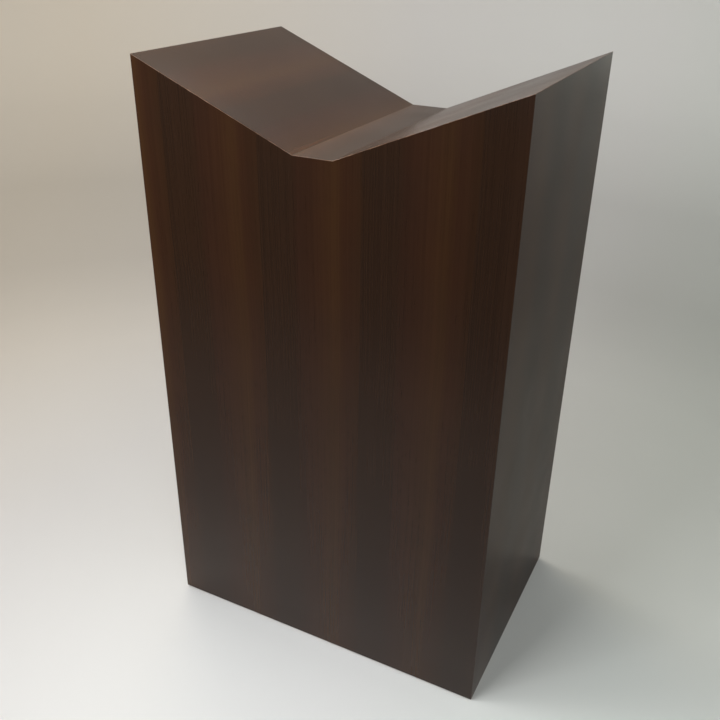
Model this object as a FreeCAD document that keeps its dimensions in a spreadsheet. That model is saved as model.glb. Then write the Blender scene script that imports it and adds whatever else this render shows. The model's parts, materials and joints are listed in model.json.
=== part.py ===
"""Atlas stand: a closed, mitred box of veneered board with a V-shaped book cradle for its top.

Frame: millimetres, +Z up, +X to the right as seen from the front, the front face towards -Y.
The origin is on the floor, under the middle of the box.

The two sides, the two wings and the trough floor follow each other round the box like the staves
of a ring. Each is a board in three layers (face veneer, core, balancing veneer), and each layer of
each board is one wedge: its outer face is larger than its inner face where the edges are mitred.
The front and the back close the ring, and are scribed to it.
"""
import FreeCAD, Part
import os
import Sketcher
from FreeCAD import Vector

SIZES = {
    # the finished box
    "width": 660,               # across the front
    "depth": 452,               # front face to back face
    "ridge_height": 1109,       # floor to the two upper arrises
    "cradle_drop": 124,         # upper arrises down to the trough floor
    "trough_width": 70,         # flat strip between the wings
    # the veneered board
    "face_veneer": 0.6,
    "core": 18,
    "back_veneer": 0.6,
    # part leaves of the front and the back; the full leaves share what is between them
    "first_leaf": 50,           # at the left arris as one faces it
    "last_leaf": 64,            # at the right arris
    # loose tongues in the mitres
    "tongue_thickness": 4,
    "tongue_width": 16,
    "tongue_depth": 13,         # finished face to the tongue's middle
    "tongue_play": 0.1,         # all round, in its groove
    "tongue_stop": 45,          # kept back from the ends of a joint
    "trough_tongue_stop": 12,   # the same, at the short ends of the trough
    # board let in at the bottom
    "base_board": 18,
    "board_play": 0.5,          # round the edge of the base board and the shelf
    "cleat": 22,                # square section of the cleats
    "cleat_play": 0.5,          # between the ends of two cleats at a corner
    # shelf half-way up
    "shelf_height": 540,        # floor to its underside
    "shelf_board": 18,
    # rib under the cradle, and the battens and blocks glued round it
    "rib_board": 18,
    "rib_below_trough": 110,
    "batten": 20,
    "batten_stop": 40,
    "block": 25,
    "block_length": 90,
    # wood screws
    "screw_shank": 2.0,         # radius
    "screw_head": 4.2,          # radius
    "screw_head_height": 2.4,
    "screw_length": 34,
    "screw_play": 0.1,          # round the shank
    "screw_end": 110,           # outer face to the first screw of a cleat
    # tee nuts in the base board
    "nut_flange": 11,           # radius
    "nut_flange_thickness": 1.5,
    "nut_barrel": 5.0,          # radius
    "nut_barrel_length": 9,
    "nut_play": 0.1,            # barrel in its hole
    # levelling feet
    "foot_inset": 62,           # outer faces to the foot's axis
    "foot_screw": 4.0,          # radius of the thread
    "foot_screw_length": 36,    # above the hexagon
    "thread_play": 0.06,        # radial, screw in its nut
    "hexagon": 7.0,             # half the width across its flats
    "hexagon_height": 4.0,
    "hexagon_seat": 0.3,        # hexagon under the nut's flange, screwed right in
    "pad": 15,                  # radius of the nylon pad
    "pad_height": 6,
    "pad_edge": 1.2,            # bevel of its lower edge
    "pad_rim": 3,               # floor to the top of its upright rim
    "pad_neck": 9,              # radius at its top
    "spigot": 3.0,              # radius of the foot screw's end in the pad
    "spigot_play": 0.05,        # radial, in the pad
    "spigot_length": 4,
    "floor_gap": 3,             # floor to the lower edges of the box
}

FULL_LEAVES = 3                 # between the two part leaves

doc = FreeCAD.newDocument("atlas_stand")


def make_sheet():
    """The spreadsheet that every size below is bound to."""
    sheet = doc.addObject("Spreadsheet::Sheet", "sizes")
    for row, (alias, value) in enumerate(SIZES.items(), 1):
        sheet.set(f"A{row}", alias)
        sheet.set(f"B{row}", str(value))
        sheet.setAlias(f"B{row}", alias)
    doc.recompute()
    return sheet


sheet = make_sheet()
finished = {}                   # Label of each sub-part: its object

# Worked-out sizes, as expressions on the sheet.
HALF_WIDTH = "sizes.width / 2"
HALF_DEPTH = "sizes.depth / 2"
HALF_TROUGH = "sizes.trough_width / 2"
TROUGH_HEIGHT = "(sizes.ridge_height - sizes.cradle_drop)"
SIDE_HEIGHT = "(sizes.ridge_height - sizes.floor_gap)"
WING_RUN = "((sizes.width - sizes.trough_width) / 2)"
WING_LENGTH = f"sqrt(sizes.cradle_drop ^ 2 + {WING_RUN} ^ 2)"
SLOPE = f"atan2(sizes.cradle_drop; {WING_RUN})"
BOARD = "(sizes.face_veneer + sizes.core + sizes.back_veneer)"
LEAF_WIDTH = f"(sizes.width - sizes.first_leaf - sizes.last_leaf) / {FULL_LEAVES}"
# How far a mitred edge draws back for each millimetre of depth under the finished face.
RIDGE_MITRE = f"(1 / tan((90 deg - {SLOPE}) / 2))"
TROUGH_MITRE = f"(-tan({SLOPE} / 2))"
SQUARE_CUT = "0"

# Layer of the board: depth of its outer and of its inner surface under the finished face.
LAYERS = {
    "face_veneer": ("0", "sizes.face_veneer"),
    "core": ("sizes.face_veneer", "(sizes.face_veneer + sizes.core)"),
    "back_veneer": ("(sizes.face_veneer + sizes.core)", BOARD),
}

# Stave of the ring: start of its outer face in X and Z, turn about Y, length, and the mitres at
# its start and end. A stave's own X runs round the ring and its own Z points outwards.
RING = {
    "left_side": (f"-{HALF_WIDTH}", "sizes.floor_gap", "-90", SIDE_HEIGHT, SQUARE_CUT, RIDGE_MITRE),
    "left_wing": (f"-{HALF_WIDTH}", "sizes.ridge_height", SLOPE, WING_LENGTH, RIDGE_MITRE, TROUGH_MITRE),
    "trough": (f"-{HALF_TROUGH}", TROUGH_HEIGHT, "0", "sizes.trough_width", TROUGH_MITRE, TROUGH_MITRE),
    "right_wing": (HALF_TROUGH, TROUGH_HEIGHT, f"-{SLOPE}", WING_LENGTH, TROUGH_MITRE, RIDGE_MITRE),
    "right_side": (HALF_WIDTH, "sizes.ridge_height", "90", SIDE_HEIGHT, RIDGE_MITRE, SQUARE_CUT),
}


def shift(x, y, z, turn="rotationz(0)"):
    """Placement expression for a move and a turn."""
    return f"placement(vector({x}; {y}; {z}); {turn})"


def stave_frame(stave):
    """Placement expression of a stave's own frame."""
    start_x, start_z, turn = RING[stave][:3]
    return shift(start_x, "0", start_z, f"rotationy({turn})")


def bind(item, expressions):
    """Bind properties of an object to expressions."""
    for name, expression in expressions.items():
        item.setExpression(name, expression)
    return item


def finish(item, label):
    """Name a sub-part and keep it for the export."""
    item.Label = label
    finished[label] = item
    return item


def box(name, size, placement):
    """Box bound to three sizes and a placement."""
    length, width, height = size
    item = doc.addObject("Part::Box", name)
    return bind(item, {"Length": length, "Width": width, "Height": height, "Placement": placement})


def fuse(name, items):
    """One tool made of several objects."""
    item = doc.addObject("Part::MultiFuse", name)
    item.Shapes = items
    return item


def cut(name, base, tool):
    """What is left of base outside tool."""
    item = doc.addObject("Part::Cut", name)
    item.Base = base
    item.Tool = tool
    return item


def common(name, base, tool):
    """What base and tool share."""
    item = doc.addObject("Part::Common", name)
    item.Base = base
    item.Tool = tool
    return item


def mirrored(name, source):
    """Copy of an object on the other side of the middle plane between front and back."""
    item = doc.addObject("Part::Mirroring", name)
    item.Source = source
    item.Normal = Vector(0, 1, 0)
    return item


def sketch_on(body, role, name, offset=None):
    """Sketch on one of a body's own origin planes, moved along the plane's normal by offset."""
    sketch = body.newObject("Sketcher::SketchObject", name)
    plane = next(item for item in body.Origin.OriginFeatures if item.Role == role)
    sketch.AttachmentSupport = (plane, [""])
    sketch.MapMode = "FlatFace"
    if offset:
        sketch.setExpression("AttachmentOffset.Base.z", offset)
    return sketch


def number(expression):
    """Present value of an expression on the sheet."""
    return float(sheet.evalExpression(expression))


def fix_point(sketch, geometry, corner, x, y):
    """Hold one point of a sketch at x and y, given as expressions."""
    for kind, value in (("DistanceX", x), ("DistanceY", y)):
        constraint = Sketcher.Constraint(kind, -1, 1, geometry, corner, number(value))
        index = sketch.addConstraint(constraint)
        sketch.setExpression(f"Constraints[{index}]", value)


def draw_polygon(sketch, points):
    """Closed outline through points given as pairs of expressions."""
    first = sketch.GeometryCount
    places = [Vector(number(x), number(y), 0) for x, y in points]
    for start, end in zip(places, places[1:] + places[:1]):
        sketch.addGeometry(Part.LineSegment(start, end))
    count = len(points)
    for index, (x, y) in enumerate(points):
        following = first + (index + 1) % count
        sketch.addConstraint(Sketcher.Constraint("Coincident", first + index, 2, following, 1))
        fix_point(sketch, first + index, 1, x, y)


def draw_circles(sketch, centres, radius):
    """Equal circles round centres given as pairs of expressions."""
    for x, y in centres:
        circle = Part.Circle(Vector(number(x), number(y), 0), Vector(0, 0, 1), number(radius))
        index = sketch.addGeometry(circle)
        fix_point(sketch, index, 3, x, y)
        size = sketch.addConstraint(Sketcher.Constraint("Radius", index, number(radius)))
        sketch.setExpression(f"Constraints[{size}]", radius)


def pad(body, sketch, length, both_ways=False, backwards=False):
    """Sketch drawn out to a solid, along its plane's normal."""
    item = body.newObject("PartDesign::Pad", f"{sketch.Name}_pad")
    item.Profile = sketch
    item.SideType = "Symmetric" if both_ways else "One side"
    item.Reversed = backwards
    item.setExpression("Length", length)
    return item


def pocket(body, sketch, length, backwards=False):
    """Sketch cut into the body, against its plane's normal."""
    item = body.newObject("PartDesign::Pocket", f"{sketch.Name}_pocket")
    item.Profile = sketch
    item.Reversed = backwards
    item.setExpression("Length", length)
    return item


def new_body(name):
    return doc.addObject("PartDesign::Body", name)


# ---------------------------------------------------------------- ring of staves

def stave_layer(stave, layer):
    """One layer of one stave: a wedge whose own Y goes into the board."""
    length, start_mitre, end_mitre = RING[stave][3:]
    outer, inner = LAYERS[layer]
    wedge = doc.addObject("Part::Wedge", f"{stave}_{layer}_blank")
    return bind(wedge, {
        "Ymin": outer,
        "Ymax": inner,
        "Xmin": f"{start_mitre} * {outer}",
        "X2min": f"{start_mitre} * {inner}",
        "Xmax": f"{length} - {end_mitre} * {outer}",
        "X2max": f"{length} - {end_mitre} * {inner}",
        "Zmin": f"-({HALF_DEPTH} - {outer})",
        "Zmax": f"{HALF_DEPTH} - {outer}",
        "Z2min": f"-({HALF_DEPTH} - {inner})",
        "Z2max": f"{HALF_DEPTH} - {inner}",
        "Placement": f"{stave_frame(stave)} * {shift('0', '0', '0', 'rotationx(-90)')}",
    })


def outline(depth):
    """Corners in X and Z of the front's outline, drawn in by depth but not at its lower edge."""
    side = f"({HALF_WIDTH} - {depth})"
    ridge = f"sizes.ridge_height - {RIDGE_MITRE} * {depth}"
    trough_side = f"({HALF_TROUGH} - {TROUGH_MITRE} * {depth})"
    trough_top = f"{TROUGH_HEIGHT} - {depth}"
    return [
        (f"-{side}", "sizes.floor_gap"),
        (side, "sizes.floor_gap"),
        (side, ridge),
        (trough_side, trough_top),
        (f"-{trough_side}", trough_top),
        (f"-{side}", ridge),
    ]


def front_layer(layer, ring):
    """One layer of the front: a slab scribed to the same layer of the ring."""
    outer, inner = LAYERS[layer]
    body = new_body(f"front_{layer}_blank")
    sketch = sketch_on(body, "XZ_Plane", f"front_{layer}_outline", f"{HALF_DEPTH} - {inner}")
    draw_polygon(sketch, outline(outer))
    pad(body, sketch, f"{inner} - {outer}")
    return cut(f"front_{layer}_mitred", body, ring)


# ---------------------------------------------------------------- loose tongues

def tongue(name, frame, length):
    """A tongue and its groove: bars along X of frame, whose Z crosses the joint."""
    bars = []
    for kind, play in (("tongue", "0"), ("groove", "sizes.tongue_play")):
        size = (
            f"{length} + 2 * {play}",
            f"sizes.tongue_thickness + 2 * {play}",
            f"sizes.tongue_width + 2 * {play}",
        )
        corner = shift(*(f"-({edge}) / 2" for edge in size))
        bars.append(box(f"{name}_{kind}", size, f"{frame} * {corner}"))
    return bars


def corner_frame(side, end):
    """Middle of the tongue in one upright corner; side and end are 1 or -1."""
    inset = "sizes.tongue_depth"
    middle = f"(sizes.floor_gap + {SIDE_HEIGHT} / 2 - {RIDGE_MITRE} * {BOARD} / 2)"
    place = shift(f"{side} * ({HALF_WIDTH} - {inset})", f"{end} * ({HALF_DEPTH} - {inset})", middle)
    across = -45 * side * end
    return f"{place} * {shift('0', '0', '0', f'rotationz({across}) * rotationy(-90)')}"


def crossing_frame(stave, at_end, mitre, half_angle):
    """Middle of the tongue where one stave's start or end meets the next stave."""
    length = RING[stave][3]
    along = f"{mitre} * sizes.tongue_depth"
    if at_end:
        place = shift(f"{length} - {along}", "0", "-sizes.tongue_depth")
        turn = f"rotationy(-{half_angle})"
    else:
        place = shift(along, "0", "-sizes.tongue_depth")
        turn = f"rotationy({half_angle})"
    return f"{stave_frame(stave)} * {place} * {shift('0', '0', '0', f'{turn} * rotationz(90)')}"


def end_frame(stave, end, middle):
    """Middle of the tongue between a stave and the front (end -1) or the back (end 1)."""
    place = shift(middle, f"{end} * ({HALF_DEPTH} - sizes.tongue_depth)", "-sizes.tongue_depth")
    return f"{stave_frame(stave)} * {place} * {shift('0', '0', '0', f'rotationx({45 * end})')}"


def make_tongues():
    """All the tongues, and the grooves that each board has for them."""
    grooves = {board: [] for board in (*RING, "front", "back")}
    kinds = {joint: [] for joint in ("corner", "ridge", "wing", "trough_side", "trough_end")}

    def place(kind, name, frame, length, boards):
        bar, groove = tongue(name, frame, length)
        kinds[kind].append(bar)
        for board in boards:
            grooves[board].append(groove)

    ends = {"front": -1, "back": 1}
    across = f"{HALF_DEPTH} * 2 - 2 * {BOARD} - 2 * sizes.tongue_stop"
    upright = f"{SIDE_HEIGHT} - {RIDGE_MITRE} * {BOARD} - 2 * sizes.tongue_stop"
    for sign, side in ((-1, "left"), (1, "right")):
        stave, wing = f"{side}_side", f"{side}_wing"
        is_right = side == "right"
        for board, end in ends.items():
            name = f"{side}_{board}"
            place("corner", f"{name}_corner", corner_frame(sign, end), upright, (stave, board))
            frame = end_frame(wing, end, f"{WING_LENGTH} / 2")
            along = f"{WING_LENGTH} - 2 * sizes.tongue_stop - {RIDGE_MITRE} * {BOARD}"
            place("wing", f"{name}_wing", frame, along, (wing, board))
        half_ridge = f"(45 deg - {SLOPE} / 2)"
        ridge = crossing_frame(wing, is_right, RIDGE_MITRE, half_ridge)
        place("ridge", f"{side}_ridge", ridge, across, (stave, wing))
        half_trough = f"(90 deg + {SLOPE} / 2)"
        meeting = crossing_frame("trough", is_right, TROUGH_MITRE, half_trough)
        place("trough_side", f"{side}_trough", meeting, across, ("trough", wing))
    for board, end in ends.items():
        frame = end_frame("trough", end, HALF_TROUGH)
        along = "sizes.trough_width - 2 * sizes.trough_tongue_stop"
        place("trough_end", f"trough_{board}", frame, along, ("trough", board))
    for joint, bars in kinds.items():
        group(f"{joint}_tongues", bars)
    return grooves


def group(label, items):
    """Identical pieces kept as separate solids in one sub-part."""
    item = doc.addObject("Part::Compound", label)
    item.Links = items
    return finish(item, label)


# ---------------------------------------------------------------- boards

def make_boards(grooves):
    """Cores, balancing veneers and face veneers of all seven boards."""
    for layer in LAYERS:
        staves = {stave: stave_layer(stave, layer) for stave in RING}
        front = front_layer(layer, fuse(f"{layer}_ring", list(staves.values())))
        back = mirrored(f"back_{layer}_mitred", front)
        boards = {**staves, "front": front, "back": back}
        if layer == "face_veneer":
            leaves(boards.pop("front"), "front", from_left=True)
            leaves(boards.pop("back"), "back", from_left=False)
        for board, item in boards.items():
            if layer == "core":
                channels = fuse(f"{board}_grooves", grooves[board])
                item = cut(f"{board}_grooved", item, channels)
            finish(item, f"{board}_{layer}")


def leaves(face, board, from_left):
    """Slip-matched leaves: strips of a face, each cut off by a box as wide as the leaf."""
    joints = [f"(sizes.first_leaf + {count} * {LEAF_WIDTH})" for count in range(FULL_LEAVES + 1)]
    edges = ["0", *joints, "sizes.width"]
    for index, (start, end) in enumerate(zip(edges, edges[1:]), 1):
        left = f"{start} - {HALF_WIDTH}" if from_left else f"{HALF_WIDTH} - {end}"
        size = (f"{end} - {start}", "sizes.depth", "sizes.ridge_height")
        strip = box(f"{board}_strip_{index}", size, shift(left, f"-{HALF_DEPTH}", "0"))
        finish(common(f"{board}_leaf_{index}_cut", face, strip), f"{board}_leaf_{index}")


# ---------------------------------------------------------------- base board, shelf and cleats

INSIDE_X = f"({HALF_WIDTH} - {BOARD})"
INSIDE_Y = f"({HALF_DEPTH} - {BOARD})"
FOOT_SEAT = "(sizes.pad_height + sizes.hexagon_height + sizes.hexagon_seat)"
BASE_UNDERSIDE = f"({FOOT_SEAT} + sizes.nut_flange_thickness)"
BASE_TOP = f"({BASE_UNDERSIDE} + sizes.base_board)"
SIDES = {"left": (-1, 0), "right": (1, 0), "front": (0, -1), "back": (0, 1)}


def cleat_screws(direction):
    """Two screws over the middle line of the cleat along one wall."""
    side_x, side_y = direction
    if side_x:
        x = f"{side_x} * ({INSIDE_X} - sizes.cleat / 2)"
        y = f"({HALF_DEPTH} - sizes.screw_end)"
        return [(x, f"-{y}"), (x, y)]
    x = f"({HALF_WIDTH} - sizes.screw_end)"
    y = f"{side_y} * ({INSIDE_Y} - sizes.cleat / 2)"
    return [(f"-{x}", y), (x, y)]


SCREW_HOLE = "(sizes.screw_shank + sizes.screw_play)"
SCREWS = [place for direction in SIDES.values() for place in cleat_screws(direction)]
FOOT_X = f"({HALF_WIDTH} - sizes.foot_inset)"
FOOT_Y = f"({HALF_DEPTH} - sizes.foot_inset)"
FEET = {
    "front_left": (f"-{FOOT_X}", f"-{FOOT_Y}"),
    "front_right": (FOOT_X, f"-{FOOT_Y}"),
    "back_left": (f"-{FOOT_X}", FOOT_Y),
    "back_right": (FOOT_X, FOOT_Y),
}


def drill(body, name, underside, centres, radius, length):
    """Upright holes that start at a height and go up."""
    sketch = sketch_on(body, "XY_Plane", name, underside)
    draw_circles(sketch, centres, radius)
    return pocket(body, sketch, length, backwards=True)


def rectangle(left, right, front, back):
    """Corners in X and Y."""
    return [(left, front), (right, front), (right, back), (left, back)]


def inset_board(label, underside, thickness):
    """Board that fills the box from wall to wall, drilled for its screws."""
    body = new_body(label)
    sketch = sketch_on(body, "XY_Plane", f"{label}_plan", underside)
    edge_x = f"({INSIDE_X} - sizes.board_play)"
    edge_y = f"({INSIDE_Y} - sizes.board_play)"
    draw_polygon(sketch, rectangle(f"-{edge_x}", edge_x, f"-{edge_y}", edge_y))
    pad(body, sketch, thickness)
    drill(body, f"{label}_screw_holes", underside, SCREWS, SCREW_HOLE, thickness)
    return finish(body, label)


def cleat(label, direction, underside):
    """Cleat along one wall, drilled for its two screws; the long ones run from wall to wall."""
    side_x, side_y = direction
    body = new_body(label)
    sketch = sketch_on(body, "XY_Plane", f"{label}_plan", underside)
    if side_x:
        end = f"({INSIDE_Y} - sizes.cleat - sizes.cleat_play)"
        near, far = f"{side_x} * ({INSIDE_X} - sizes.cleat)", f"{side_x} * {INSIDE_X}"
        draw_polygon(sketch, rectangle(near, far, f"-{end}", end))
    else:
        near, far = f"{side_y} * ({INSIDE_Y} - sizes.cleat)", f"{side_y} * {INSIDE_Y}"
        draw_polygon(sketch, rectangle(f"-{INSIDE_X}", INSIDE_X, near, far))
    pad(body, sketch, "sizes.cleat")
    holes = cleat_screws(direction)
    drill(body, f"{label}_pilot_holes", underside, holes, SCREW_HOLE, "sizes.cleat")
    return finish(body, label)


def screws(label, head_face, upwards):
    """Pan-head wood screws whose heads lie on a face of their board."""
    body = new_body(label)
    for part, radius, length, up in (
        ("shank", "sizes.screw_shank", "sizes.screw_length", upwards),
        ("head", "sizes.screw_head", "sizes.screw_head_height", not upwards),
    ):
        sketch = sketch_on(body, "XY_Plane", f"{label}_{part}", head_face)
        draw_circles(sketch, SCREWS, radius)
        pad(body, sketch, length, backwards=not up)
    return finish(body, label)


def make_inner_boards():
    """Base board and shelf, each on its four cleats and held by its screws."""
    base = inset_board("base_board", BASE_UNDERSIDE, "sizes.base_board")
    nut_hole = "sizes.nut_barrel + sizes.nut_play"
    drill(base, "nut_holes", BASE_UNDERSIDE, list(FEET.values()), nut_hole, "sizes.base_board")
    inset_board("stiffening_shelf", "sizes.shelf_height", "sizes.shelf_board")
    for side, direction in SIDES.items():
        cleat(f"base_cleat_{side}", direction, BASE_TOP)
        cleat(f"shelf_cleat_{side}", direction, "(sizes.shelf_height - sizes.cleat)")
    screws("base_screws", BASE_UNDERSIDE, upwards=True)
    screws("shelf_screws", "(sizes.shelf_height + sizes.shelf_board)", upwards=False)


# ---------------------------------------------------------------- under the cradle

HALF_RIB = "sizes.rib_board / 2"
RIB_FOOT = f"({TROUGH_HEIGHT} - {BOARD} - sizes.rib_below_trough)"


def make_rib():
    """V-topped bearer between the sides, half-way from front to back."""
    body = new_body("cradle_rib")
    sketch = sketch_on(body, "XZ_Plane", "cradle_rib_outline")
    corners = outline(BOARD)[2:]
    draw_polygon(sketch, [(f"-{INSIDE_X}", RIB_FOOT), (INSIDE_X, RIB_FOOT), *corners])
    pad(body, sketch, "sizes.rib_board", both_ways=True)
    finish(body, "cradle_rib")


def make_rib_blocks():
    """Glue blocks in the corners between the rib and the sides."""
    blocks = []
    size = ("sizes.block", "sizes.block", "sizes.block_length")
    for side, left in (("left", f"-{INSIDE_X}"), ("right", f"{INSIDE_X} - sizes.block")):
        for end, near in (("front", f"-{HALF_RIB} - sizes.block"), ("back", HALF_RIB)):
            blocks.append(box(f"rib_block_{side}_{end}", size, shift(left, near, RIB_FOOT)))
    group("rib_blocks", blocks)


def make_wing_battens():
    """Battens in the corners between the wings and the front and back."""
    battens = []
    length = f"{WING_LENGTH} - 2 * sizes.batten_stop"
    size = (length, "sizes.batten", "sizes.batten")
    for side in ("left", "right"):
        for end, near in (("front", f"-{INSIDE_Y}"), ("back", f"{INSIDE_Y} - sizes.batten")):
            corner = shift("sizes.batten_stop", near, f"-{BOARD} - sizes.batten")
            frame = f"{stave_frame(f'{side}_wing')} * {corner}"
            battens.append(box(f"wing_batten_{side}_{end}", size, frame))
    group("wing_battens", battens)


# ---------------------------------------------------------------- levelling feet

def make_tee_nuts():
    """Tee nuts: flange under the base board, barrel up into it, bore for the foot's screw."""
    body = new_body("tee_nuts")
    centres = list(FEET.values())
    flange = sketch_on(body, "XY_Plane", "nut_flanges", FOOT_SEAT)
    draw_circles(flange, centres, "sizes.nut_flange")
    pad(body, flange, "sizes.nut_flange_thickness")
    barrel = sketch_on(body, "XY_Plane", "nut_barrels", BASE_UNDERSIDE)
    draw_circles(barrel, centres, "sizes.nut_barrel")
    pad(body, barrel, "sizes.nut_barrel_length")
    bore = "sizes.foot_screw + sizes.thread_play"
    depth = "sizes.nut_flange_thickness + sizes.nut_barrel_length"
    drill(body, "nut_bores", FOOT_SEAT, centres, bore, depth)
    finish(body, "tee_nuts")


def revolve(body, sketch):
    """Full turn about the sketch's own upright axis."""
    item = body.newObject("PartDesign::Revolution", f"{sketch.Name}_turned")
    item.Profile = sketch
    item.ReferenceAxis = (sketch, ["V_Axis"])
    item.Angle = 360
    return item


def make_foot(corner, place):
    """Nylon pad, and the steel foot screw pressed into it; both turned about the foot's axis."""
    x, y = place
    seat = "sizes.pad_height - sizes.spigot_length"
    edge = "sizes.pad_edge"
    socket = "sizes.spigot + sizes.spigot_play"
    pad_body = new_body(f"foot_pad_{corner}")
    profile = sketch_on(pad_body, "XZ_Plane", f"foot_pad_{corner}_profile")
    draw_polygon(profile, [
        ("0", "0"),
        (f"sizes.pad - {edge}", "0"),
        ("sizes.pad", edge),
        ("sizes.pad", "sizes.pad_rim"),
        ("sizes.pad_neck", "sizes.pad_height"),
        (socket, "sizes.pad_height"),
        (socket, seat),
        ("0", seat),
    ])
    revolve(pad_body, profile)
    screw = new_body(f"foot_screw_{corner}")
    spigot = sketch_on(screw, "XY_Plane", f"foot_spigot_{corner}", seat)
    draw_circles(spigot, [("0", "0")], "sizes.spigot")
    pad(screw, spigot, "sizes.spigot_length")
    hexagon = sketch_on(screw, "XY_Plane", f"foot_hexagon_{corner}", "sizes.pad_height")
    half = "sizes.hexagon"
    point = f"({half} / cos(30 deg))"
    draw_polygon(hexagon, [
        (point, "0"), (f"{point} / 2", half), (f"-{point} / 2", half),
        (f"-{point}", "0"), (f"-{point} / 2", f"-{half}"), (f"{point} / 2", f"-{half}"),
    ])
    pad(screw, hexagon, "sizes.hexagon_height")
    shank_foot = "sizes.pad_height + sizes.hexagon_height"
    shank = sketch_on(screw, "XY_Plane", f"foot_shank_{corner}", shank_foot)
    draw_circles(shank, [("0", "0")], "sizes.foot_screw")
    pad(screw, shank, "sizes.foot_screw_length")
    for body in (pad_body, screw):
        bind(body, {"Placement.Base.x": x, "Placement.Base.y": y})
        finish(body, body.Name)


# ---------------------------------------------------------------- build, check, write

def make_stand():
    """Every sub-part."""
    make_boards(make_tongues())
    make_inner_boards()
    make_rib()
    make_rib_blocks()
    make_wing_battens()
    make_tee_nuts()
    for corner, place in FEET.items():
        make_foot(corner, place)


def check_and_write():
    """Stop on any failed object or bad shape, then write one file for each sub-part."""
    doc.recompute()
    for item in doc.Objects:
        if {"Invalid", "Error"} & set(item.State):
            raise RuntimeError(f"{item.Label} failed: {item.State}")
    for label, item in finished.items():
        if item.Shape.isNull() or not item.Shape.isValid() or not item.Shape.Solids:
            raise RuntimeError(f"{label} has no valid solid")
    os.makedirs("parts", exist_ok=True)
    for label, item in finished.items():
        item.Shape.exportStep(f"parts/{label}.step")
    print(len(finished), "sub-parts written")


make_stand()
check_and_write()
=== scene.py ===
"""Looks of the atlas stand: a mitred box of dark-stained walnut veneer with a V-shaped book cradle.

Metres, in the frame of the part: +Z up, the front towards -Y, the origin on the floor under the box.
The veneers are laid again as thin sheets whose arrises are eased, and the levelling feet get their
threads and rounded rims. Every other piece keeps its mesh and gets the finish of its own material.
"""

import json
import math

import bmesh
import bpy
from mathutils import Matrix, Vector

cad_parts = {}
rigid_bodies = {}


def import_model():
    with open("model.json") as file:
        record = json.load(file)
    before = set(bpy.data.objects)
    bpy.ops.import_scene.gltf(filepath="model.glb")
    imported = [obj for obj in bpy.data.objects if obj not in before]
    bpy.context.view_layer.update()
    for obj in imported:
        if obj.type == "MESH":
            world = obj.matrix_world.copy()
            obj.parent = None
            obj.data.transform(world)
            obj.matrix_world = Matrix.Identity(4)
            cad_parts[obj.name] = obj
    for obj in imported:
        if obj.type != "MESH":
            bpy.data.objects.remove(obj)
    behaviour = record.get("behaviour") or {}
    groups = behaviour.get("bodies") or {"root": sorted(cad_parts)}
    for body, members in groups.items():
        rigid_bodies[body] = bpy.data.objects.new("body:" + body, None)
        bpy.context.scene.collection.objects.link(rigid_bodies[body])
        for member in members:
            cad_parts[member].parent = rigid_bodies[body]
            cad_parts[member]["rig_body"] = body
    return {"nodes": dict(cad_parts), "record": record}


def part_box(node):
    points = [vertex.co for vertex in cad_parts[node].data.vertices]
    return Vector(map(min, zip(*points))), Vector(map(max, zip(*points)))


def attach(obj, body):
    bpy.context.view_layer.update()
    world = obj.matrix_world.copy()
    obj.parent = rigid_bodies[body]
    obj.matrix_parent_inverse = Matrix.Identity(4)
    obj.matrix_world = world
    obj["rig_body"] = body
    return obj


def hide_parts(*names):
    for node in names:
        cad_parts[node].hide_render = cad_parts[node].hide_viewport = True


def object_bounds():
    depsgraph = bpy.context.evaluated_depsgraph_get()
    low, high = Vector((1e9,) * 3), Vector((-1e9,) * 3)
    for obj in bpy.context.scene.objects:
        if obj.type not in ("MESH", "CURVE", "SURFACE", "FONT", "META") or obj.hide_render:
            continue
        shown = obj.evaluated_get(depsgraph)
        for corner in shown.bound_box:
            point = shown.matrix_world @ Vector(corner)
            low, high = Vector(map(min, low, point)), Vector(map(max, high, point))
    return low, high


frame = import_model()
cad_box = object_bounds()

MM = 0.001
MERGE = 0.001 * MM              # corners nearer than this are one
FLAT = math.radians(1)          # faces that turn by less lie in one plane
X, Y, Z = Vector((1, 0, 0)), Vector((0, 1, 0)), Vector((0, 0, 1))

# ---------------------------------------------------------------- helpers


def linear(code):
    """Linear colour with alpha from an sRGB hex value."""
    parts = [int(code[place:place + 2], 16) / 255 for place in (1, 3, 5)]
    return (*(part / 12.92 if part <= 0.04045 else ((part + 0.055) / 1.055) ** 2.4 for part in parts), 1)


def add(tree, kind, inputs=None, stops=None, **settings):
    """Shader node with its settings and links.

    inputs gives each of its sockets a value, a socket that feeds it or a node whose first output does;
    stops are the places and the hex colours of a ramp.
    """
    node = tree.nodes.new(f"ShaderNode{kind}")
    for name, value in settings.items():
        setattr(node, name, value)
    for key, value in (inputs or {}).items():
        source = value.outputs[0] if isinstance(value, bpy.types.Node) else value
        if isinstance(source, bpy.types.NodeSocket):
            tree.links.new(source, node.inputs[key])
        else:
            node.inputs[key].default_value = source
    if stops:
        ramp = node.color_ramp.elements
        ramp[0].position, ramp[-1].position = stops[0][0], stops[-1][0]
        ramp[0].color, ramp[-1].color = linear(stops[0][1]), linear(stops[-1][1])
        for position, code in stops[1:-1]:
            ramp.new(position).color = linear(code)
    return node


def new_material(name):
    """Empty material and its node tree."""
    material = bpy.data.materials.new(name)
    material.use_nodes = True
    material.node_tree.nodes.clear()
    return material, material.node_tree


def new_object(name, bm, materials):
    """Object at the origin made of a bmesh, which is used up."""
    mesh = bpy.data.meshes.new(name)
    bm.to_mesh(mesh)
    bm.free()
    item = bpy.data.objects.new(name, mesh)
    bpy.context.scene.collection.objects.link(item)
    for material in materials:
        mesh.materials.append(material)
    return item


def stand_for(item, node):
    """Let a new piece take the place of a node, on the node's own body."""
    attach(item, frame["nodes"][node]["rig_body"])
    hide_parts(node)
    return item


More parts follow.
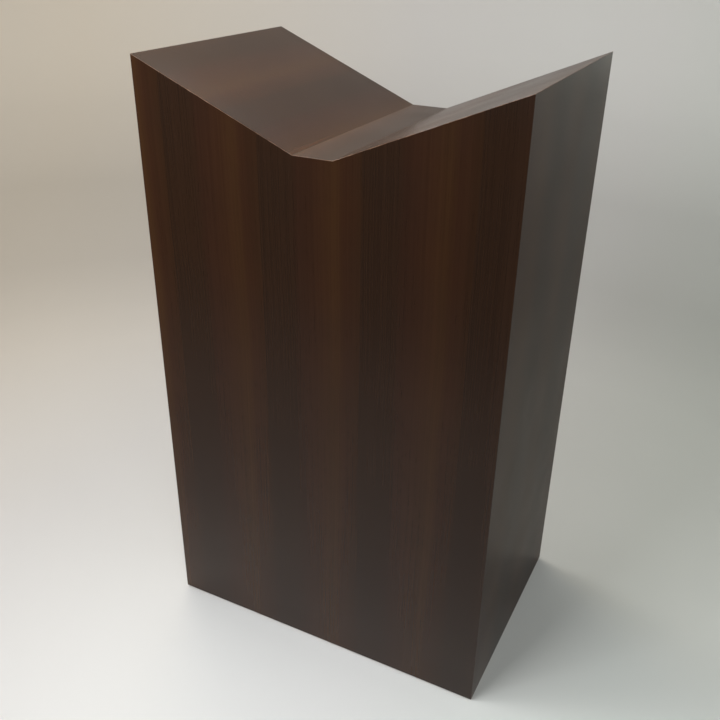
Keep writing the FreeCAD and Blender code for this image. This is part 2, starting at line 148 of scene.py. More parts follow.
def clean_copy(node):
    """Mesh of a node with its corners joined and its flat faces whole."""
    bm = bmesh.new()
    bm.from_mesh(frame["nodes"][node].data)
    bmesh.ops.remove_doubles(bm, verts=bm.verts, dist=MERGE)
    bmesh.ops.dissolve_limit(bm, angle_limit=FLAT, verts=bm.verts, edges=bm.edges)
    return bm


# ---------------------------------------------------------------- boards of the box

VENEERS = [node for node in frame["nodes"] if "_leaf_" in node or node.endswith("_face_veneer")]
BOXES = {node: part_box(node) for node in VENEERS}
HALF_WIDTH = cad_box[1].x
HALF_DEPTH = cad_box[1].y
VENEER = BOXES["front_leaf_1"][1].y - BOXES["front_leaf_1"][0].y
INSIDE = (cad_box[0] + cad_box[1]) / 2
FIRST_LEAF = BOXES["front_leaf_1"][1].x - BOXES["front_leaf_1"][0].x
LEAF = BOXES["front_leaf_2"][1].x - BOXES["front_leaf_2"][0].x
DROP = BOXES["left_wing_face_veneer"][1].z - BOXES["trough_face_veneer"][1].z
RUN = HALF_WIDTH - BOXES["trough_face_veneer"][1].x
SLOPE = math.atan2(DROP, RUN)
DOWN_LEFT_WING = Vector((math.cos(SLOPE), 0, -math.sin(SLOPE)))
UP_RIGHT_WING = Vector((math.cos(SLOPE), 0, math.sin(SLOPE)))

# Way across the grain, way along it, and how many leaves of the pack lie to the left of the board.
FIRST_PLACE = -FIRST_LEAF / LEAF
GRAIN = {
    "front": (X, Z, FIRST_PLACE),
    "back": (-X, Z, FIRST_PLACE),
    "left_side": (-Y, Z, FIRST_PLACE - 2 * HALF_DEPTH / LEAF),
    "right_side": (Y, Z, FIRST_PLACE + 2 * HALF_WIDTH / LEAF),
    "left_wing": (DOWN_LEFT_WING, Y, 0),
    "trough": (X, Y, math.hypot(DROP, RUN) / LEAF),
    "right_wing": (UP_RIGHT_WING, Y, 0),
}
# Painted light: each board's stain is made paler than the front's and the back's, by a factor set by trial,
# to stand in for the light that falls on the sides and the cradle.
PAINTED_BOARD_LIGHT = {"left_side": 1.2, "right_side": 1.7, "left_wing": 1.85, "trough": 1.85, "right_wing": 1.85}


def edges_of(board, across):
    """Places of a board's left and right edges, measured across its grain."""
    meshes = [frame["nodes"][node].data for node in VENEERS if node.startswith(board)]
    places = [across.dot(corner.co) for mesh in meshes for corner in mesh.vertices]
    return min(places), max(places)


def wandering_figure(tree, axes, leaf, in_leaf):
    """Place across the figure of a leaf, which wanders a few millimetres, differently in each leaf."""
    own = add(tree, "Math", {0: leaf, 1: WANDER_PER_LEAF}, operation="MULTIPLY")
    place = add(tree, "CombineXYZ", {"X": own, "Y": axes["Y"], "Z": axes["Z"]})
    wander = add(tree, "TexNoise", {"Vector": place, "Scale": 1 / WANDER_LENGTH, "Detail": 1.0})
    reach = {"To Min": -WANDER / LEAF, "To Max": WANDER / LEAF}
    shift = add(tree, "MapRange", {"Value": wander, **NOISE, **reach}, clamp=False)
    return add(tree, "Math", {0: in_leaf, 1: shift}, operation="ADD")


def growth_lines(tree, axes, leaf, figure_place):
    """Growth lines as noise, much longer along the grain than across it."""
    across = add(tree, "Math", {0: figure_place, 1: LEAF / GROWTH_LINE}, operation="MULTIPLY")
    along = add(tree, "Math", {0: axes["Z"], 1: 1 / GROWTH_LINE_LENGTH}, operation="MULTIPLY")
    place = add(tree, "CombineXYZ", {"X": across, "Y": leaf, "Z": along})
    return add(tree, "TexNoise", {"Vector": place, "Scale": 1.0, "Detail": 3.0, "Roughness": 0.6})


def open_pores(tree, board_place):
    """Short strokes along the grain, 1 in a pore and 0 beside it."""
    scale = (1 / PORE, 1 / PORE, 1 / PORE_LENGTH)
    place = add(tree, "Mapping", {"Vector": board_place, "Scale": scale}, vector_type="POINT")
    pores = add(tree, "TexNoise", {"Vector": place, "Scale": 1.0, "Detail": 1.0})
    return add(tree, "MapRange", {"Value": pores, **PORE_EDGE})


def rubbed_edges(tree, over, first_leaf, width):
    """Tone of stain that hands and dusters have rubbed thinner towards the two edges along the grain."""
    middle = first_leaf * LEAF + width / 2
    from_left = add(tree, "Math", {0: over, 1: middle}, operation="SUBTRACT")
    from_middle = add(tree, "Math", {0: from_left}, operation="ABSOLUTE")
    band = {"From Min": width / 2 - RUBBED, "From Max": width / 2 - RUBBED / 3}
    return add(tree, "MapRange", {"Value": from_middle, **band, "To Min": 1.0, "To Max": RUBBED_TONE})


def stain_shade(tree, board, leaf, lines, pore, clouds, rubbed):
    """How light the stained wood is, by its growth lines, pores, clouds, place in the pack and wear, and by
    the painted light of its board.
    """
    # painted light: boards that get less light from the lamps than they should are stained paler
    board_light = PAINTED_BOARD_LIGHT.get(board, 1.0)
    ranges = (
        {"Value": lines, **NOISE, "To Min": 1 - LINE_CONTRAST, "To Max": 1 + LINE_CONTRAST},
        {"Value": pore, "To Min": 1.0, "To Max": PORE_SHADE},
        {"Value": clouds, **NOISE, "To Min": 1 - CLOUD_CONTRAST, "To Max": 1 + CLOUD_CONTRAST},
        {"Value": leaf, **PACK, "To Min": board_light * PACK_TONE[0], "To Max": board_light * PACK_TONE[1]},
    )
    shade, *others = [add(tree, "MapRange", inputs) for inputs in ranges]
    for other in [*others, rubbed]:
        shade = add(tree, "Math", {0: shade, 1: other}, operation="MULTIPLY")
    return shade


def stained_walnut(board, number):
    """Quarter-cut walnut veneer, slip-matched, stained dark and sprayed with satin lacquer.

    To the eye: straight grain in leaves that all show the same figure, olive-brown at the left joint,
    lighter and redder to a golden streak, then red-brown; fine dark pores; a soft, even sheen.
    """
    material, tree = new_material(f"stained_walnut_{board}")
    across, along, first_leaf = GRAIN[board]
    left, right = edges_of(board, across)
    place = add(tree, "Mapping", {
        "Vector": add(tree, "TexCoord").outputs["Object"],
        "Location": (first_leaf * LEAF - left, number * NEXT_BOARD[0], number * NEXT_BOARD[1]),
        "Rotation": Matrix((across, along.cross(across), along)).to_euler(),
    }, vector_type="POINT")
    axes = add(tree, "SeparateXYZ", {0: place}).outputs
    leaves = add(tree, "Math", {0: axes["X"], 1: LEAF}, operation="DIVIDE")
    leaf = add(tree, "Math", {0: leaves}, operation="FLOOR")
    in_leaf = add(tree, "Math", {0: leaves}, operation="FRACT")
    figure_place = wandering_figure(tree, axes, leaf, in_leaf)
    figure = add(tree, "ValToRGB", {"Fac": figure_place}, stops=LEAF_FIGURE)
    lines = growth_lines(tree, axes, leaf, figure_place)
    pore = open_pores(tree, place)
    clouds = add(tree, "TexNoise", {"Vector": place, "Scale": 1 / CLOUD, "Detail": 2.0})
    rubbed = rubbed_edges(tree, axes["X"], first_leaf, right - left)
    shade = stain_shade(tree, board, leaf, lines, pore, clouds, rubbed)
    colour = add(tree, "VectorMath", {0: figure, "Scale": shade}, operation="SCALE")

    # Where the wood drank more stain and lacquer, the surface is a bit rougher.
    sheen = {"To Min": LACQUER_ROUGHNESS + CLOUD_ROUGHNESS, "To Max": LACQUER_ROUGHNESS - CLOUD_ROUGHNESS}
    roughness = add(tree, "MapRange", {"Value": clouds, **NOISE, **sheen})
    sunken = add(tree, "Math", {0: pore, 1: -1.0}, operation="MULTIPLY")
    relief = add(tree, "Bump", {"Height": sunken, "Strength": 0.25, "Distance": PORE_DEPTH})
    shader = add(tree, "BsdfPrincipled", {
        "Base Color": colour,
        "Roughness": roughness,
        "Normal": relief,
        "IOR": LACQUER_IOR,
    })
    add(tree, "OutputMaterial", {"Surface": shader})
    return material


NOISE = {"From Min": 0.3, "From Max": 0.7}          # nearly all of a noise lies between these values
NEXT_BOARD = (3.7, 1.9)         # steps in the noise from board to board, square to the face and along it
# Stained walnut across one leaf, from its left joint to its right one.
LEAF_FIGURE = [
    (0.00, "#2f1f15"),
    (0.32, "#2f1f15"),
    (0.40, "#332016"),
    (0.50, "#352116"),
    (0.62, "#382316"),
    (0.76, "#3b2616"),
    (0.84, "#362115"),
    (1.00, "#322014"),
]
PACK = {"From Min": -1, "From Max": 3}              # the first and the last leaf on the front
PACK_TONE = (1.10, 0.86)        # darker from leaf to leaf across the board
RUBBED = 22 * MM                # width of the rubbed band along an edge
RUBBED_TONE = 1.15
WANDER = 4 * MM
WANDER_LENGTH = 0.5
WANDER_PER_LEAF = 0.15
GROWTH_LINE = 3.0 * MM
GROWTH_LINE_LENGTH = 0.6
LINE_CONTRAST = 0.14
PORE = 1.1 * MM                 # real ones are a tenth as wide; drawn as coarse as they need to show
PORE_LENGTH = 30 * MM
PORE_EDGE = {"From Min": 0.60, "From Max": 0.72}    # from the rim of a pore to its middle
PORE_SHADE = 0.88
PORE_DEPTH = 0.05 * MM
CLOUD = 0.12                    # as wide as a hand
CLOUD_CONTRAST = 0.06
LACQUER_ROUGHNESS = 0.24
CLOUD_ROUGHNESS = 0.03
LACQUER_IOR = 1.5


def worn_arris_with_painted_highlight():
    """Stain rubbed thin by books along the arrises of the cradle, and made paler still as a painted
    highlight: a narrow, uneven, lighter line.
    """
    material, tree = new_material("worn_arris_with_painted_highlight")
    place = add(tree, "TexCoord").outputs["Object"]
    wear = add(tree, "TexNoise", {"Vector": place, "Scale": 1 / RUB, "Detail": 4.0})
    # the pale stops are wear and a painted highlight of the eased arris together
    stops = [(0.35, "#4a3526"), (0.55, "#7d5d46"), (0.75, "#b39074")]
    colour = add(tree, "ValToRGB", {"Fac": wear}, stops=stops)
    shader = add(tree, "BsdfPrincipled", {"Base Color": colour, "Roughness": 0.3, "IOR": LACQUER_IOR})
    add(tree, "OutputMaterial", {"Surface": shader})
    return material


RUB = 15 * MM


# ---------------------------------------------------------------- the veneered skin

EASING = 0.5 * MM               # how far the last sanding goes in from each arris
EASING_FACETS = 4               # an even number, so that the mitre runs between two of them
UPRIGHT = 0.01                  # a normal that rises by less belongs to an upright arris


def finished_face(bm):
    """Face of a veneer that is seen: the largest of those that look out of the box."""
    outward = [face for face in bm.faces if face.normal.dot(face.calc_center_median() - INSIDE) > 0]
    return max(outward, key=lambda face: face.calc_area())


def lay_skin():
    """Finished faces of all the veneers as one sheet with eased arrises, and their normals."""
    skin = bmesh.new()
    normals = {}
    for node in VENEERS:
        bm = clean_copy(node)
        face = finished_face(bm)
        normals[node] = face.normal.copy()
        skin.faces.new([skin.verts.new(corner.co) for corner in face.verts])
        bm.free()
    joints = {round(end.x, 6) for node in VENEERS if "_leaf_" in node for end in BOXES[node]}
    for joint in sorted(joints - {round(HALF_WIDTH, 6), round(-HALF_WIDTH, 6)}):
        everything = [*skin.verts, *skin.edges, *skin.faces]
        bmesh.ops.bisect_plane(skin, geom=everything, dist=MERGE, plane_co=(joint, 0, 0), plane_no=X)
    bmesh.ops.remove_doubles(skin, verts=skin.verts, dist=10 * MERGE)
    skin.normal_update()
    arrises = [
        edge for edge in skin.edges
        if edge.is_manifold and edge.is_convex and edge.calc_face_angle() > FLAT
    ]
    eased = bmesh.ops.bevel(
        skin, geom=arrises, offset=EASING, affect="EDGES",
        segments=EASING_FACETS, profile=0.5, material=-1,
    )
    for face in eased["faces"]:
        face.normal_update()
        face.material_index = int(abs(face.normal.z) > UPRIGHT)
        face.smooth = True
    skin.normal_update()
    return skin, normals


def holds(box, point):
    """Whether a point is in a node's box."""
    return all(low - MERGE <= place <= high + MERGE for low, place, high in zip(box[0], point, box[1]))


def owner(face, normals):
    """Veneer that a face of the skin belongs to."""
    centre = face.calc_center_median()
    near = [node for node in VENEERS if holds(BOXES[node], centre)]
    return max(near, key=lambda node: normals[node].dot(face.normal))


def lay_veneers():
    """One sheet of stained veneer for each veneer of the box."""
    skin, normals = lay_skin()
    layer = skin.faces.layers.int.new("veneer")
    for face in skin.faces:
        face[layer] = VENEERS.index(owner(face, normals))
    boards = {board: stained_walnut(board, number) for number, board in enumerate(GRAIN)}
    arris = worn_arris_with_painted_highlight()
    for number, node in enumerate(VENEERS):
        sheet = skin.copy()
        layer = sheet.faces.layers.int["veneer"]
        others = [face for face in sheet.faces if face[layer] != number]
        bmesh.ops.delete(sheet, geom=others, context="FACES")
        bmesh.ops.dissolve_limit(
            sheet, angle_limit=FLAT, verts=sheet.verts, edges=sheet.edges, delimit={"MATERIAL"},
        )
        board = next(board for board in GRAIN if node.startswith(board))
        item = new_object(f"{node}_sheet", sheet, [boards[board], arris])
        thickness = item.modifiers.new("veneer", "SOLIDIFY")
        thickness.thickness = VENEER
        thickness.offset = -1
        thickness.use_even_offset = True
        stand_for(item, node)
    skin.free()


lay_veneers()

# ---------------------------------------------------------------- levelling feet

CORNERS = ("front_left", "front_right", "back_left", "back_right")
PITCH = 1.25 * MM               # coarse thread of an M8 screw
THREAD_DEPTH = 0.61 * PITCH
STEPS_PER_TURN = 8              # rings of corners along one turn of thread
RUN_OUT = 1.5 * PITCH           # over which the thread fades to the plain shank
PAD_ROUNDING = 0.3 * MM
PAD_RIM = math.radians(20)      # edges of a pad that turn by more are its rims
HEXAGON_EDGE = math.radians(40)
LEVEL = 0.999                   # a normal that rises by more belongs to a level face
HEXAGON_EASING = 0.25 * MM


def moulded_nylon():
    """Black polyamide 6 from a spark-eroded mould: even, fine-grained, half matt."""
    material, tree = new_material("moulded_nylon")
    place = add(tree, "TexCoord").outputs["Object"]
    grain = add(tree, "TexNoise", {"Vector": place, "Scale": 1 / MOULD_GRAIN, "Detail": 2.0})
    colour = add(tree, "ValToRGB", {"Fac": grain}, stops=[(0.3, "#121212"), (0.7, "#1c1c1c")])
    relief = add(tree, "Bump", {"Height": grain, "Strength": 0.4, "Distance": 0.03 * MM})
    shader = add(tree, "BsdfPrincipled", {
        "Base Color": colour,
        "Roughness": 0.5,
        "IOR": 1.53,
        "Normal": relief,
    })
    add(tree, "OutputMaterial", {"Surface": shader})
    return material


def zinc_plate():
    """Steel with bright zinc plating: pale, faintly blue, a little uneven in gloss."""
    material, tree = new_material("zinc_plate")
    place = add(tree, "TexCoord").outputs["Object"]
    cloud = add(tree, "TexNoise", {"Vector": place, "Scale": 1 / ZINC_CLOUD, "Detail": 3.0})
    colour = add(tree, "ValToRGB", {"Fac": cloud}, stops=[(0.3, "#b9bcbe"), (0.7, "#cfd1d0")])
    roughness = add(tree, "MapRange", {"Value": cloud, "To Min": 0.24, "To Max": 0.42})
    shader = add(tree, "BsdfPrincipled", {"Base Color": colour, "Roughness": roughness, "Metallic": 1.0})
    add(tree, "OutputMaterial", {"Surface": shader})
    return material


MOULD_GRAIN = 0.4 * MM
ZINC_CLOUD = 5 * MM


def sharp_edges(bm, angle):
    """Edges where the surface turns outwards by more than an angle."""
    return [edge for edge in bm.edges
            if edge.is_manifold and edge.is_convex and edge.calc_face_angle() > angle]


def make_pad(corner, material):
    """Foot pad with its rims rounded as they come out of the mould."""
    node = f"foot_pad_{corner}"
    bm = clean_copy(node)
    bmesh.ops.bevel(bm, geom=sharp_edges(bm, PAD_RIM), offset=PAD_ROUNDING, affect="EDGES",
                    segments=3, profile=0.5, material=-1, clamp_overlap=True)
    for face in bm.faces:
        face.smooth = abs(face.normal.z) < LEVEL
    stand_for(new_object(f"{node}_moulded", bm, [material]), node)


def make_foot_screw(corner, material):
    """Foot screw: hexagon with eased edges and a shank with its rolled M8 thread."""
    node = f"foot_screw_{corner}"
    low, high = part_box(node)
    centre = (low + high) / 2
    bm = clean_copy(node)
    shank = [edge for edge in bm.edges if edge.calc_length() > (high.z - low.z) / 2]
    bottom = min(end.co.z for edge in shank for end in edge.verts)
    cuts = round((high.z - bottom) / PITCH * STEPS_PER_TURN)
    hexagon = [edge for edge in sharp_edges(bm, HEXAGON_EDGE)
               if max(end.co.z for end in edge.verts) < bottom + MERGE]
    bmesh.ops.bevel(bm, geom=hexagon, offset=HEXAGON_EASING, affect="EDGES", segments=2,
                    profile=0.5, material=-1, clamp_overlap=True)
    shank = [edge for edge in bm.edges if edge.calc_length() > (high.z - low.z) / 2]
    bmesh.ops.subdivide_edges(bm, edges=shank, cuts=cuts, use_grid_fill=True)
    for corner_point in bm.verts:
        from_axis = Vector((corner_point.co.x - centre.x, corner_point.co.y - centre.y, 0))
        up, down = corner_point.co.z - bottom, high.z - corner_point.co.z
        if up <= MERGE or from_axis.length < MERGE or down < -MERGE:
            continue
        turn = up / PITCH - math.atan2(from_axis.y, from_axis.x) / (2 * math.pi)
        flank = abs(2 * (turn % 1) - 1)
        depth = THREAD_DEPTH * flank * min(1, up / RUN_OUT)
        corner_point.co -= from_axis.normalized() * depth
    for face in bm.faces:
        face.smooth = face.calc_center_median().z > bottom + MERGE
    stand_for(new_object(f"{node}_threaded", bm, [material]), node)


def make_feet(zinc):
    """Four pads, each on its screw."""
    nylon = moulded_nylon()
    for corner in CORNERS:
        make_pad(corner, nylon)
        make_foot_screw(corner, zinc)


zinc = zinc_plate()
make_feet(zinc)


# ---------------------------------------------------------------- finishes inside the box


def grained(name, way, stops, width, length, roughness, distortion):
    """Bare wood whose growth rings run along one way: soft stripes, matt and dry."""
    material, tree = new_material(name)
    scale = [1 / length if step == way else 1 / width for step in (X, Y, Z)]
    place = add(tree, "TexCoord").outputs["Object"]
    stretched = add(tree, "Mapping", {"Vector": place, "Scale": scale}, vector_type="POINT")
    rings = add(tree, "TexNoise", {
        "Vector": stretched,
        "Scale": 1.0,
        "Detail": 4.0,
        "Distortion": distortion,
    })
    relief = add(tree, "Bump", {"Height": rings, "Strength": 0.3, "Distance": 0.1 * MM})
    shader = add(tree, "BsdfPrincipled", {
        "Base Color": add(tree, "ValToRGB", {"Fac": rings}, stops=stops),
        "Roughness": roughness,
        "IOR": WOOD_IOR,
        "Normal": relief,
    })
    add(tree, "OutputMaterial", {"Surface": shader})
    return material


def planed_spruce(way):
    """Spruce off the planer: cream early wood between yellow-brown late wood."""
    stops = [(0.35, "#e2c796"), (0.52, "#d8b67e"), (0.62, "#b98d55"), (0.7, "#dcbd88")]
    return grained(f"planed_spruce_{way}", AXES[way], stops, 5 * MM, 300 * MM, 0.6, 0.4)


def balancing_veneer():
    """Plain walnut veneer left unfinished on the hidden faces: mid brown, matt."""
    stops = [(0.35, "#8b6a4c"), (0.5, "#7a5a3f"), (0.65, "#694b34")]
    return grained("balancing_veneer", Z, stops, 6 * MM, 250 * MM, 0.65, 0.5)


def birch_plywood():
    """Birch plywood, sanded: pale faces, and edges striped by its plies."""
    material, tree = new_material("birch_plywood")
    place = add(tree, "TexCoord").outputs["Object"]
    plies = add(tree, "TexWave", {"Vector": place, "Scale": math.pi / 10 / PLY},
                wave_type="BANDS", bands_direction="Y", wave_profile="SIN").outputs["Fac"]
    scale = (1 / BIRCH_LINE_LENGTH, 1 / BIRCH_LINE, 1 / BIRCH_LINE)
    stretched = add(tree, "Mapping", {"Vector": place, "Scale": scale}, vector_type="POINT")
    grain = add(tree, "TexNoise", {"Vector": stretched, "Scale": 1.0, "Detail": 3.0})
    mixed = add(tree, "Math", {0: plies, 1: grain}, operation="MULTIPLY")
    colour = add(tree, "ValToRGB", {"Fac": mixed}, stops=[(0.1, "#b48f63"), (0.5, "#d6b98c")])
    shader = add(tree, "BsdfPrincipled", {"Base Color": colour, "Roughness": 0.55, "IOR": WOOD_IOR})
    add(tree, "OutputMaterial", {"Surface": shader})
    return material


def raw_fibreboard():
    """Medium-density fibreboard as it is sawn: an even tan felt of fine fibres, quite matt."""
    material, tree = new_material("raw_fibreboard")
    place = add(tree, "TexCoord").outputs["Object"]
    felt = {"Vector": place, "Scale": 1 / FIBRE, "Detail": 4.0, "Roughness": 0.7}
    fibres = add(tree, "TexNoise", felt)
    stops = [(0.3, "#8f7252"), (0.5, "#a48561"), (0.7, "#b59571")]
    relief = add(tree, "Bump", {"Height": fibres, "Strength": 0.4, "Distance": 0.05 * MM})
    shader = add(tree, "BsdfPrincipled", {
        "Base Color": add(tree, "ValToRGB", {"Fac": fibres}, stops=stops),
        "Roughness": 0.85,
        "IOR": WOOD_IOR,
        "Normal": relief,
    })
    add(tree, "OutputMaterial", {"Surface": shader})
    return material


WOOD_IOR = 1.5
PLY = 1.4 * MM
BIRCH_LINE = 6 * MM
BIRCH_LINE_LENGTH = 200 * MM
FIBRE = 1.5 * MM
AXES = {"x": X, "y": Y, "z": Z}


def finish_inside(zinc):
    """Give every piece that keeps its own mesh the finish of its material."""
    spruce = {way: planed_spruce(way) for way in AXES}
    finishes = {
        "fibreboard": raw_fibreboard(),
        "birch_plywood": birch_plywood(),
        "balancing_veneer": balancing_veneer(),
        "zinc_plated_steel": zinc,
    }
    for piece in frame["record"]["subparts"]:
        node, slot = piece["node"], piece["material_slot"]
        low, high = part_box(node)
        size = high - low
        if slot == "softwood":
            finish = spruce[max(AXES, key=lambda way: size.dot(AXES[way]))]
        elif slot in finishes:
            finish = finishes[slot]
        else:
            continue
        frame["nodes"][node].material_slots[0].material = finish


finish_inside(zinc)

# ---------------------------------------------------------------- floor, light and camera


def paper_colour(tree, place, over):
    """Pale grey paper with painted light: warmer on the left, cooler on the right, and painted shade in its
    fold.
    """
    flat = add(tree, "Mapping", {"Vector": place, "Location": -SWEEP_CENTRE, "Scale": (1, 1, 0)},
               vector_type="POINT")
    radius = add(tree, "VectorMath", {0: flat}, operation="LENGTH").outputs["Value"]
    outward = add(tree, "Math", {0: radius, 1: SWEEP_FLAT + COVE}, operation="DIVIDE")
    shade = add(tree, "ValToRGB", {"Fac": outward}, stops=FOLD_SHADE)
    aside = add(tree, "MapRange", {"Value": over, **TINTED})
    tint = add(tree, "ValToRGB", {"Fac": aside}, stops=PAINTED_LIGHT_TINT)
    return add(tree, "VectorMath", {0: shade, 1: tint}, operation="MULTIPLY")


def mirrored_share(tree, axes):
    """Share of the paper's light that the lacquer mirrors: all of it before the stand, less elsewhere."""
    fading = {"To Min": 1.0, "To Max": 0.0}
    before = add(tree, "MapRange", {"Value": axes["Y"], **FADES_BACK, **fading})
    beside = add(tree, "MapRange", {"Value": axes["X"], **FADES_RIGHT, **fading})
    near = add(tree, "Math", {0: before, 1: beside}, operation="MULTIPLY")
    low = add(tree, "MapRange", {"Value": near, "To Min": MIRRORED_LOW, "To Max": 1.0})
    height = add(tree, "Math", {0: axes["Z"], 1: SWEEP_HEIGHT}, operation="DIVIDE")
    high = add(tree, "ValToRGB", {"Fac": height}, stops=MIRRORED_WALL)
    return add(tree, "Math", {0: low, 1: high}, operation="MAXIMUM")


def sweep_paper():
    """Matt background paper, which towards the camera gives way to the room, which is dark.

    The camera sees paper all round; the lacquer mirrors the paper near the stand and the dark room
    beyond it, so the veil on the front grows from the top down. Seen at a grazing angle, satin lacquer
    mirrors less than smooth lacquer would.
    """
    material, tree = new_material("sweep_paper")
    place = add(tree, "TexCoord").outputs["Object"]
    axes = add(tree, "SeparateXYZ", {0: place}).outputs
    colour = paper_colour(tree, place, axes["X"])
    back = add(tree, "MapRange", {"Value": axes["Y"], "From Min": ROOM_END, "From Max": ROOM_START})
    laid = add(tree, "ValToRGB", {"Fac": back}, stops=ROOM_SHADE)
    ray = add(tree, "LightPath").outputs
    share = mirrored_share(tree, axes)
    mirrored = add(tree, "Math", {0: share, 1: ray["Is Glossy Ray"]}, operation="POWER")
    lit = add(tree, "Math", {0: laid, 1: mirrored}, operation="MULTIPLY")
    shown = add(tree, "Math", {0: lit, 1: ray["Is Camera Ray"]}, operation="MAXIMUM")
    seen = add(tree, "VectorMath", {0: colour, "Scale": shown}, operation="SCALE")
    shader = add(tree, "BsdfPrincipled", {"Base Color": seen, "Roughness": 0.9, "Specular IOR Level": 0.2})
    add(tree, "OutputMaterial", {"Surface": shader})
    return material


PAPER = "#e4e5e4"
# Painted light: the paper warmer where warm light falls on the left, a little duller towards the middle,
# cooler on the right.
PAPER_IN_WARM_LIGHT = "#e4dccf"
PAPER_IN_DIM_LIGHT = "#e0dfde"
PAPER_IN_COOL_LIGHT = "#dfe4e0"
TINTED = {"From Min": -2.0, "From Max": 1.0}        # from left to right
PAINTED_LIGHT_TINT = [(0.0, PAPER_IN_WARM_LIGHT), (0.4, PAPER_IN_DIM_LIGHT), (0.6, PAPER), (0.7, PAPER), (0.85, PAPER_IN_COOL_LIGHT)]
# Painted shade: the paper darker in the middle of its fold, palest on the wall above it.
FOLD_SHADE = [
    (0.45, "#f6f6f6"),
    (0.64, "#f0f0f0"),
    (0.70, "#eaeaea"),
    (0.80, "#dadada"),
    (0.90, "#d9d9d9"),
    (0.96, "#ebebeb"),
    (1.00, "#ffffff"),
]
ROOM_START = -0.2               # behind this line all is paper, and it fades into the dark room in front
ROOM_END = -1.8
ROOM_SHADE = [
    (0.00, "#373737"),
    (0.45, "#919191"),
    (0.65, "#9e9e9e"),
    (0.80, "#b9b9b9"),
    (0.90, "#d8d8d8"),
    (1.00, "#ffffff"),
]
# The full share fades out from front to back, and to the right of the stand.
FADES_BACK = {"From Min": -0.3, "From Max": 0.1}
FADES_RIGHT = {"From Min": HALF_WIDTH, "From Max": 0.45}
# Shares set by trial: near the floor, and up the wall.
MIRRORED_LOW = 0.40
MIRRORED_WALL = [
    (0.08, "#aeaeae"),
    (0.16, "#b4b4b4"),
    (0.23, "#bcbcbc"),
    (0.27, "#f0f0f0"),
    (0.38, "#c8c8c8"),
    (0.62, "#c6c6c6"),
    (0.84, "#9c9c9c"),
]


def make_sweep():
    """Round floor that curves up into a wall: a bowl of pale paper, seen from inside."""
    profile = [(0, 0), (SWEEP_FLAT, 0)]
    for step in range(1, COVE_STEPS + 1):
        angle = math.pi / 2 * step / COVE_STEPS
        profile.append((SWEEP_FLAT + COVE * math.sin(angle), COVE * (1 - math.cos(angle))))
    profile.append((SWEEP_FLAT + COVE, SWEEP_HEIGHT))
    bm = bmesh.new()
    corners = [bm.verts.new((radius, 0, height)) for radius, height in profile]
    edges = [bm.edges.new(pair) for pair in zip(corners, corners[1:])]
    bmesh.ops.spin(
        bm, geom=[*corners, *edges], cent=(0, 0, 0), axis=Z,
        angle=2 * math.pi, steps=SWEEP_STEPS, use_merge=True,
    )
    bmesh.ops.remove_doubles(bm, verts=bm.verts, dist=MERGE)
    bmesh.ops.recalc_face_normals(bm, faces=bm.faces)
    bmesh.ops.translate(bm, verts=bm.verts, vec=SWEEP_CENTRE)
    for face in bm.faces:
        face.smooth = True
    material = sweep_paper()
    new_object("sweep", bm, [material])


SWEEP_CENTRE = Vector((0.0, -0.8, 0.0))
SWEEP_FLAT = 1.9
COVE = 1.1
SWEEP_HEIGHT = 3.2
COVE_STEPS = 12
SWEEP_STEPS = 96


def look_at(place, target):
    """Matrix of a lamp at a place, aimed at a target."""
    turn = (Vector(target) - Vector(place)).to_track_quat("-Z", "Y").to_matrix().to_4x4()
    return Matrix.Translation(place) @ turn


def make_light():
    """Soft boxes all round the stand, a warm one behind it on the left, and a narrow one for the floor."""
    for name, (place, target, power, tint, spread) in SOFT_BOXES.items():
        lamp = bpy.data.lights.new(name, "AREA")
        lamp.shape = "SQUARE"
        lamp.size = SOFT_BOX
        lamp.energy = power
        lamp.color = linear(tint)[:3]
        lamp.spread = math.radians(spread)
        item = bpy.data.objects.new(name, lamp)
        item.matrix_world = look_at(place, target)
        item.visible_camera = False
        bpy.context.scene.collection.objects.link(item)
    world = bpy.data.worlds.new("room")
    world.use_nodes = True
    tree = world.node_tree
    tree.nodes.clear()
    seen = add(tree, "LightPath").outputs["Is Camera Ray"]
    room = add(tree, "Background", {"Color": linear(PAPER), "Strength": seen})
    add(tree, "OutputWorld", {"Surface": room})
    bpy.context.scene.world = world


def round_the_stand(turn, height):
    """Place at an angle round from the left towards the front, and at an angle above the stand's middle."""
    turn, height = math.radians(turn), math.radians(height)
    way = Vector((-math.cos(turn) * math.cos(height), -math.sin(turn) * math.cos(height), math.sin(height)))
    return MIDDLE + LAMP_DISTANCE * way


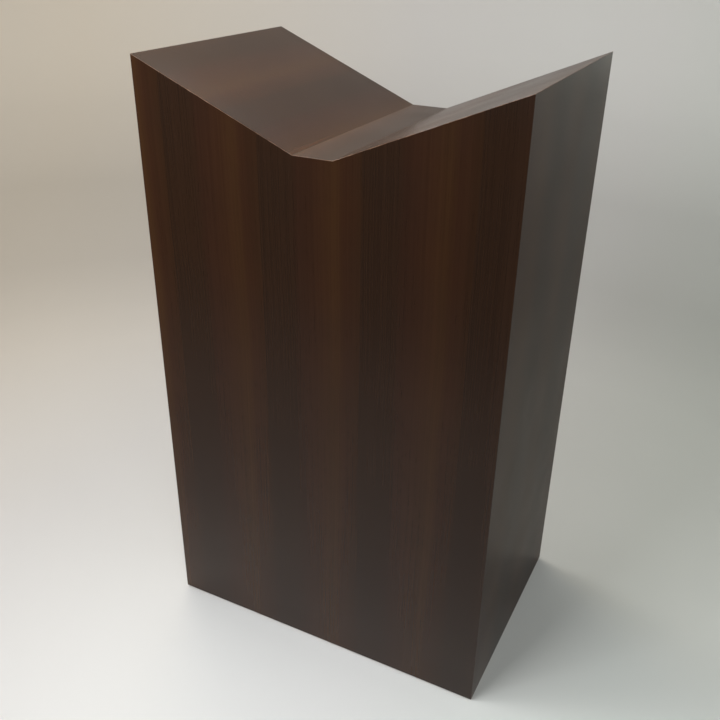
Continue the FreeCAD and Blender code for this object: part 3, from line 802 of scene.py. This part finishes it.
MIDDLE = Vector((0, 0, 0.6))
LAMP_DISTANCE = 2.3
SOFT_BOX = 1.0
WIDE = 180                      # degrees over which a plain soft box sheds its light
DAYLIGHT = "#ffffff"
LAMPLIGHT = "#fff0da"
SOFT_BOXES = {
    "front_box": (round_the_stand(70, 35), MIDDLE, 30, DAYLIGHT, WIDE),
    "front_right_box": (round_the_stand(125, 25), MIDDLE, 13, DAYLIGHT, WIDE),
    "front_left_box": (round_the_stand(48, 50), MIDDLE, 7, DAYLIGHT, WIDE),
    "left_box": (round_the_stand(-15, 50), MIDDLE, 11, DAYLIGHT, WIDE),
    "top_box": ((1.3, -0.2, 3.1), (1.3, -0.2, 0.0), 9, DAYLIGHT, WIDE),
    "back_left_box": ((-1.2, 1.0, 3.1), (-1.2, 1.0, 0.0), 17, LAMPLIGHT, WIDE),
    "back_box": ((-0.6, 1.6, 3.1), (-0.6, 1.6, 0.0), 6, DAYLIGHT, WIDE),
    "floor_box": (round_the_stand(38, 48), (0.3, -0.45, 0.0), 1.5, DAYLIGHT, 36),
}


def make_camera():
    """Camera off the front right corner, a little higher than the stand, looking down at it."""
    lens = bpy.data.cameras.new("camera")
    lens.sensor_width = SENSOR
    lens.lens = FOCAL_LENGTH
    lens.clip_start = NEAREST
    item = bpy.data.objects.new("camera", lens)
    item.matrix_world = (
        Matrix.Translation(CAMERA_PLACE)
        @ Matrix.Rotation(CAMERA_TURN, 4, "Z")
        @ Matrix.Rotation(math.pi / 2 - CAMERA_TILT, 4, "X")
        @ Matrix.Rotation(CAMERA_ROLL, 4, "Z")
    )
    bpy.context.scene.collection.objects.link(item)
    bpy.context.scene.camera = item


SENSOR = 36
NEAREST = 0.05
FOCAL_LENGTH = 41.89
CAMERA_PLACE = (0.6287, -1.3060, 1.3033)
CAMERA_TURN = math.radians(26.697)
CAMERA_TILT = math.radians(27.821)
CAMERA_ROLL = math.radians(0.845)

make_sweep()
make_light()
make_camera()
bpy.context.scene.view_settings.view_transform = "Standard"
